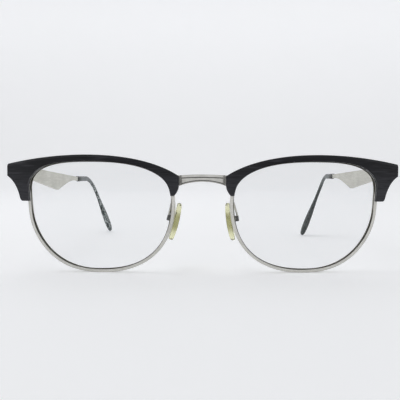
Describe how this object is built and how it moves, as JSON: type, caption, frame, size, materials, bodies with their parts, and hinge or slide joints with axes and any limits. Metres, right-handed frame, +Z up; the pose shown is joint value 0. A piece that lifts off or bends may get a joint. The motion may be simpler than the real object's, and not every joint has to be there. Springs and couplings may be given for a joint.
{
  "type": "browline glasses",
  "caption": "Browline glasses with black brow bars over thin metal rims, clear lenses, a metal bridge, adjustable nose pads and folding metal temples with dark tips.",
  "frame": {"origin": "middle of the footprint, on the surface that the open glasses stand on", "axes": "+X across the face towards the wearer's left, -Y to the front, +Z up"},
  "size_m": [0.1408, 0.1228, 0.041],
  "materials": {
    "silver_metal": "satin",
    "screw_steel": "satin",
    "pad_metal": "satin",
    "black_brow": "semi-gloss",
    "dark_tip": "satin",
    "pad_plastic": "satin",
    "clear_lens": "clear"
  },
  "bodies": {
    "front": {"bridge": "silver_metal", "left_rim": "silver_metal", "left_lens": "clear_lens", "left_upper_closing_block": "silver_metal", "left_lower_closing_block": "silver_metal", "left_closing_screw": "screw_steel", "left_brow": "black_brow", "left_brow_temporal_screw": "screw_steel", "left_brow_nasal_screw": "screw_steel", "left_end_piece": "silver_metal", "left_front_hinge": "silver_metal", "left_hinge_screw": "screw_steel", "left_pad_arm": "silver_metal", "left_pad_box": "pad_metal", "left_pad_screw": "screw_steel", "right_rim": "silver_metal", "right_lens": "clear_lens", "right_upper_closing_block": "silver_metal", "right_lower_closing_block": "silver_metal", "right_closing_screw": "screw_steel", "right_brow": "black_brow", "right_brow_temporal_screw": "screw_steel", "right_brow_nasal_screw": "screw_steel", "right_end_piece": "silver_metal", "right_front_hinge": "silver_metal", "right_hinge_screw": "screw_steel", "right_pad_arm": "silver_metal", "right_pad_box": "pad_metal", "right_pad_screw": "screw_steel"},
    "left_temple": {"left_temple": "silver_metal", "left_temple_hinge": "silver_metal", "left_temple_tip": "dark_tip"},
    "right_temple": {"right_temple": "silver_metal", "right_temple_hinge": "silver_metal", "right_temple_tip": "dark_tip"},
    "left_pad": {"left_nose_pad": "pad_plastic", "left_pad_insert": "pad_metal"},
    "right_pad": {"right_nose_pad": "pad_plastic", "right_pad_insert": "pad_metal"}
  },
  "joints": [
    {"name": "left_temple_fold", "type": "hinge", "parent": "front", "child": "left_temple", "pos_m": [0.06742, -0.04497, 0.0357], "axis": [0, 0, 1], "range_deg": [0, 88]},
    {"name": "right_temple_fold", "type": "hinge", "parent": "front", "child": "right_temple", "pos_m": [-0.06742, -0.04497, 0.0357], "axis": [0, 0, -1], "range_deg": [0, 84]},
    {"name": "left_pad_rock", "type": "hinge", "parent": "front", "child": "left_pad", "pos_m": [0.01173, -0.05107, 0.01809], "axis": [-0.1205, -0.9925, -0.0184], "range_deg": [-10, 10]},
    {"name": "right_pad_rock", "type": "hinge", "parent": "front", "child": "right_pad", "pos_m": [-0.01162, -0.05107, 0.01826], "axis": [0.1182, -0.9925, -0.0297], "range_deg": [-10, 10]}
  ]
}
